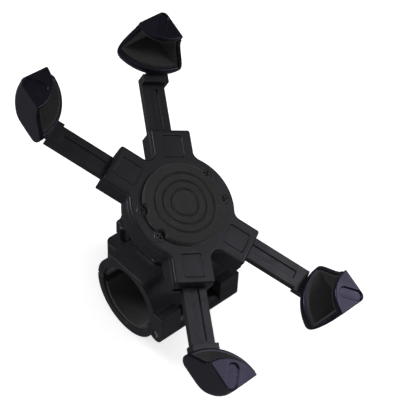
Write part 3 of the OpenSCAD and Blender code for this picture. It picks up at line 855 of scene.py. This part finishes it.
@dataclass
class Hub:
    """The hub: its two housings, pad, screws and the gear between the arms."""

    shop: Workshop
    centre: np.ndarray
    angle: float
    middle_r: float = 26.0
    guide_half: float = 9.89
    guide_reach: float = 38.0
    fillet: float = 2.2
    guide_round: float = 1.2
    edge: float = 1.0
    seam: float = 0.25
    spring_room: tuple[float, float] = (13.5, 2.0)
    pin_hole: tuple[float, float] = (2.05, 2.8)
    screw_ring: float = 21.0
    screw_turn: float = math.radians(20)
    screw_r: float = 1.3
    head_r: float = 2.45
    panel: tuple[float, float, float] = (24.0, 35.0, 5.0)
    panel_deep: float = 0.6
    pad_r: float = 20.0
    pad_edge: float = 0.7
    pad_notch_r: float = 3.0
    ring_starts: tuple[float, ...] = (6.0, 10.0, 14.0)
    ring_w: float = 1.4
    ring_deep: float = 0.8
    cell: float = 0.33

    def __post_init__(self) -> None:
        """Take the heights from the CAD nodes."""
        low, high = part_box("front_cover")
        self.under, self.top = low[2] / MM - self.centre[2], high[2] / MM - self.centre[2]
        self.reach = (np.array(high) / MM - self.centre)[:2]
        self.pad_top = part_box("rest_pad")[1][2] / MM - self.centre[2]

    def build(self) -> None:
        """Make the cover and the pad, and dress the rest."""
        margin = 2 * self.cell
        far = self.reach + margin
        cover = field_piece("cover_moulded", self.cover_field, (-far[0], -far[1], self.under - margin),
                            (far[0], far[1], self.top + margin), self.cell, self.centre)
        self.shop.fit(cover, "front_cover")
        side = self.pad_r + margin
        pad = field_piece("pad_moulded", self.pad_field, (-side, -side, self.top - margin),
                          (side, side, self.pad_top + margin), self.cell, self.centre)
        self.shop.fit(pad, "rest_pad")
        self.shop.dress("rear_housing", "cover_screws", "pinion", "pinion_pin", "return_spring")
        self.shop.dress(*(f"arm_{corner.name}" for corner in CORNERS))
        self.shop.dress(*(f"claw_screw_{corner.name}" for corner in CORNERS))

    def guides(self, x: np.ndarray, y: np.ndarray, reach: float, half: float, rounding: float,
               start: float = 0.0) -> np.ndarray:
        """Field of a block on each of the four diagonals, seen from the front.

        Args:
            x: Place along X from the middle.
            y: Place along Y from the middle.
            reach: How far out the blocks end.
            half: Half their width.
            rounding: Radius of their upright edges.
            start: How far out they begin.

        Returns:
            The field.
        """
        blocks = []
        for lean in (self.angle, -self.angle):
            along = np.abs(x * math.cos(lean) + y * math.sin(lean))
            across = np.abs(y * math.cos(lean) - x * math.sin(lean))
            blocks.append(meet(meet(across - half, along - reach, rounding), start - along, rounding))
        return join(*blocks, self.fillet)

    def screws(self, x: np.ndarray, y: np.ndarray) -> np.ndarray:
        """Distance from the nearest cover screw's axis."""
        turns = [side * self.screw_turn + half for side in (-1, 1) for half in (0, math.pi)]
        return np.minimum.reduce([np.hypot(x - self.screw_ring * math.cos(t),
                                           y - self.screw_ring * math.sin(t)) for t in turns])

    def cover_field(self, x: np.ndarray, y: np.ndarray, z: np.ndarray) -> np.ndarray:
        """Field of the front cover: a disc filleted into its guides, less what it makes room for.

        Args:
            x: Place along X.
            y: Place along Y.
            z: Height.

        Returns:
            The field.
        """
        radius = np.hypot(x, y)
        plan = join(radius - self.middle_r, self.guides(x, y, self.guide_reach, self.guide_half,
                                                        self.guide_round, -1.0), self.fillet)
        body = meet(meet(plan, z - self.top, self.edge), self.under - z, self.seam)
        room = np.maximum(radius - self.spring_room[0], z - self.under - self.spring_room[1])
        pin = np.maximum(radius - self.pin_hole[0], z - self.under - self.pin_hole[1])
        from_screw = self.screws(x, y)
        sunk = (from_screw - self.head_r + self.top - z) / math.sqrt(2)
        hole = np.minimum(from_screw - self.screw_r, sunk)
        panel = self.guides(x, y, self.panel[1], self.panel[2], 1.0, self.panel[0])
        panel = np.maximum(panel, self.top - self.panel_deep - z)
        body = cut(cut(body, np.minimum(room, pin), 0.1), hole, 0.12)
        return cut(body, panel, 0.2)

    def pad_field(self, x: np.ndarray, y: np.ndarray, z: np.ndarray) -> np.ndarray:
        """Field of the pad: a crowned disc with round grooves, notched at the screws.

        Args:
            x: Place along X.
            y: Place along Y.
            z: Height.

        Returns:
            The field.
        """
        radius = np.hypot(x, y)
        body = meet(meet(radius - self.pad_r, z - self.pad_top, self.pad_edge), self.top - z, 0.15)
        body = cut(body, self.screws(x, y) - self.pad_notch_r, 0.25)
        for start in self.ring_starts:
            ring = np.abs(radius - start - self.ring_w / 2) - self.ring_w / 2
            body = cut(body, meet(ring, self.pad_top - self.ring_deep - z, 0.35), 0.25)
        return body


@dataclass
class BallJoint:
    """The ball, its slip liner and cup, and the ring that locks them."""

    shop: Workshop
    centre: np.ndarray
    ring_r: float = 14.45
    ring_in: float = 12.05
    hole_r: float = 9.65
    lip: float = 1.6
    lower_edge: float = 2.0
    upper_edge: float = 0.8
    flutes: int = 24
    flute_r: float = 1.1
    flute_out: float = 0.5
    flute_up: float = 2.8
    cell: float = 0.28

    def __post_init__(self) -> None:
        """Take the ring's heights from its CAD node."""
        low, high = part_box("lock_ring")
        self.low, self.high = low[2] / MM - self.centre[2], high[2] / MM - self.centre[2]

    def build(self) -> None:
        """Make the ring and dress the joint's other pieces."""
        margin = 2 * self.cell
        side = self.ring_r + margin
        ring = field_piece("ring_moulded", self.ring_field, (-side, -side, self.low - margin),
                           (side, side, self.high + margin), self.cell, self.centre)
        self.shop.fit(ring, "lock_ring")
        self.shop.dress("ball_stud", "stud_screws", "slip_liner", "socket_cup")

    def ring_field(self, x: np.ndarray, y: np.ndarray, z: np.ndarray) -> np.ndarray:
        """Field of the lock ring: a rounded sleeve with a lip, and flutes around it.

        Args:
            x: Place along X.
            y: Place along Y.
            z: Height.

        Returns:
            The field.
        """
        radius = np.hypot(x, y)
        body = meet(meet(radius - self.ring_r, self.low - z, self.lower_edge), z - self.high, self.upper_edge)
        step = math.tau / self.flutes
        turn = np.arctan2(y, x)
        turn = turn - step * np.round(turn / step)
        flute = np.hypot(radius * np.cos(turn) - self.ring_r - self.flute_out, radius * np.sin(turn))
        flute = np.maximum(flute - self.flute_r, self.low + self.flute_up - z)
        bore = np.maximum(radius - self.ring_in, self.low + self.lip - z)
        return cut(cut(body, flute, 0.3), np.minimum(bore, radius - self.hole_r), 0.15)


@dataclass
class BarClamp:
    """The hinged clamp, its liners, screw and knob."""

    shop: Workshop
    lean: float
    knob_r: float = 7.5
    knob_y: float = 26.0
    knob_from: float = 9.0
    knob_h: float = 8.0
    crown: float = 1.6
    lobes: int = 8
    lobe_r: float = 2.6
    lobe_out: float = 1.4
    shank_r: float = 2.55
    tail_r: float = 2.15
    hex_flat: float = 3.594
    hex_up: tuple[float, float] = (1.0, 5.05)
    cell: float = 0.22

    def build(self) -> None:
        """Make the knob and dress the clamp's other pieces."""
        margin = 2 * self.cell
        side = self.knob_r + margin
        axis = (0.0, math.cos(self.lean) * self.knob_y, math.sin(self.lean) * self.knob_y)
        knob = field_piece("knob_moulded", self.knob_field, (-side, -side, self.knob_from - margin),
                           (side, side, self.knob_from + self.knob_h + margin), self.cell, axis, self.lean)
        self.shop.fit(knob, "screw_knob")
        self.shop.dress("saddle", "saddle_liner", "jaw", "jaw_liner", "hinge_pin", "barrel_nut",
                        "clamp_screw", "screw_washer")

    def knob_field(self, x: np.ndarray, y: np.ndarray, z: np.ndarray) -> np.ndarray:
        """Field of the knob: a crowned disc with finger lobes, less the screw's hole and hexagon.

        Args:
            x: Place across the screw, along X.
            y: Place across the screw.
            z: Height along the screw.

        Returns:
            The field.
        """
        radius = np.hypot(x, y)
        up = z - self.knob_from
        body = meet(meet(radius - self.knob_r, up - self.knob_h, self.crown), -up, 0.5)
        step = math.tau / self.lobes
        turn = np.arctan2(y, x) - step / 2
        turn = turn - step * np.round(turn / step)
        scoop = np.hypot(radius * np.cos(turn) - self.knob_r - self.lobe_out, radius * np.sin(turn))
        body = cut(body, scoop - self.lobe_r, 0.9)
        sixth = math.tau / 6
        face = np.arctan2(y, x) - sixth / 2
        face = face - sixth * np.round(face / sixth)
        nut = np.maximum(radius * np.cos(face) - self.hex_flat, slab(up, *self.hex_up))
        shank = np.maximum(radius - self.shank_r, up - self.hex_up[0])
        hole = np.minimum(np.minimum(nut, shank), radius - self.tail_r)
        return cut(body, hole, 0.12)


# ---------------------------------------------------------------- camera, floor and light


@dataclass
class Studio:
    """Camera, floor, backdrop light and lamps."""

    camera_at: Point = (-0.2867, -0.0534, 0.5472)
    right: Point = (0.742, -0.563, 0.365)
    forward: Point = (0.510, 0.119, -0.852)
    focal: float = 112.6
    sensor: float = 36.0
    floor_half: float = 3.0
    floor_gap: float = 0.002
    floor_lift: float = 0.4
    room_light: float = 0.55
    room_shine: float = 0.08

    def build(self) -> None:
        """Set up the whole studio."""
        self.add_camera()
        self.add_floor()
        self.add_world()
        self.add_lamps()
        bpy.context.scene.view_settings.view_transform = "Standard"

    def add_camera(self) -> None:
        """Make the camera from its place and its directions."""
        forward = Vector(self.forward).normalized()
        up = Vector(self.right).cross(forward).normalized()
        right = forward.cross(up)
        data = bpy.data.cameras.new("camera")
        data.lens, data.sensor_width = self.focal, self.sensor
        camera = bpy.data.objects.new("camera", data)
        place = Matrix((right, up, -forward)).transposed().to_4x4()
        place.translation = Vector(self.camera_at)
        camera.matrix_world = place
        bpy.context.scene.collection.objects.link(camera)
        bpy.context.scene.camera = camera

    def add_floor(self) -> None:
        """Lay a pale floor under the mount that the camera sees as white outside the shadow."""
        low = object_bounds()[0][2] - self.floor_gap
        half = self.floor_half / MM
        corners = np.array([[-half, -half, 0], [half, -half, 0], [half, half, 0], [-half, half, 0]])
        floor = put_mesh("floor", corners + [0, 0, low / MM], np.array([[0, 1, 2, 3]]))
        floor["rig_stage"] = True
        material = bpy.data.materials.new("floor")
        material.use_nodes = True
        material.node_tree.nodes.clear()
        wire = Wiring(material.node_tree)
        path = wire.add("LightPath").outputs
        pale = wire.add("BsdfDiffuse", {"Color": (0.86, 0.86, 0.87, 1.0)})
        grey = wire.add("BsdfDiffuse", {"Color": (0.16, 0.16, 0.17, 1.0)})
        kept = wire.add("MixShader", {0: path["Is Glossy Ray"], 1: pale.outputs[0], 2: grey.outputs[0]})
        seen = wire.maths("MULTIPLY", path["Is Camera Ray"], self.floor_lift)
        lift = wire.add("Emission", {"Color": (1.0, 1.0, 1.0, 1.0), "Strength": seen})
        both = wire.add("AddShader", {0: kept.outputs[0], 1: lift.outputs[0]})
        wire.add("OutputMaterial", {"Surface": both.outputs[0]})
        floor.data.materials.append(material)

    def add_world(self) -> None:
        """Light the room evenly, and show white behind the mount."""
        world = bpy.data.worlds.new("studio")
        bpy.context.scene.world = world
        world.use_nodes = True
        world.node_tree.nodes.clear()
        wire = Wiring(world.node_tree)
        path = wire.add("LightPath").outputs
        seen = wire.maths("MAXIMUM", path["Is Camera Ray"], path["Is Transmission Ray"])
        dimmer = self.room_shine - self.room_light
        shiny = wire.maths("MULTIPLY_ADD", path["Is Glossy Ray"], dimmer, self.room_light)
        strength = wire.maths("MAXIMUM", seen, shiny)
        room = wire.add("Background", {"Color": (1.0, 1.0, 1.0, 1.0), "Strength": strength})
        wire.add("OutputWorld", {"Surface": room.outputs[0]})

    def add_lamps(self) -> None:
        """Hang a key box that the flaps reflect, a fill and a back strip."""
        self.add_lamp("key_box", (0.72, -0.28, 1.10), (0.0, -0.02, 0.06), 0.55, 5.0)
        self.add_lamp("fill_box", (-0.9, -0.5, 0.7), (0.0, 0.02, 0.03), 0.7, 2.2)
        self.add_lamp("back_strip", (-0.55, 0.95, 0.45), (0.0, 0.05, 0.04), 0.35, 9.0)

    @staticmethod
    def add_lamp(name: str, place: Point, aim: Point, side: float, power: float) -> None:
        """Hang one square area lamp.

        Args:
            name: Name of the lamp.
            place: Where it hangs, in metres.
            aim: The place that it faces.
            side: Length of its sides.
            power: Its power in watts.
        """
        data = bpy.data.lights.new(name, "AREA")
        data.size, data.energy = side, power
        lamp = bpy.data.objects.new(name, data)
        turn = (Vector(aim) - Vector(place)).to_track_quat("-Z", "Y")
        lamp.matrix_world = Matrix.Translation(place) @ turn.to_matrix().to_4x4()
        bpy.context.scene.collection.objects.link(lamp)


def plain(box: tuple) -> list[list[float]]:
    """A box's corners as plain lists of numbers."""
    return [[float(value) for value in corner] for corner in box]


def main() -> None:
    """Build the mount piece by piece, then the studio."""
    logging.basicConfig(level=logging.INFO, format="%(name)s: %(message)s")
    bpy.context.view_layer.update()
    shop = Workshop(frame)
    centre = ball_centre(frame)
    claws = Claws(shop, centre)
    lean = -math.atan2(centre[1], centre[2])
    for part in (claws, Hub(shop, centre, claws.angle), BallJoint(shop, centre), BarClamp(shop, lean)):
        part.build()
    Studio().build()


if __name__ == "__main__":
    main()
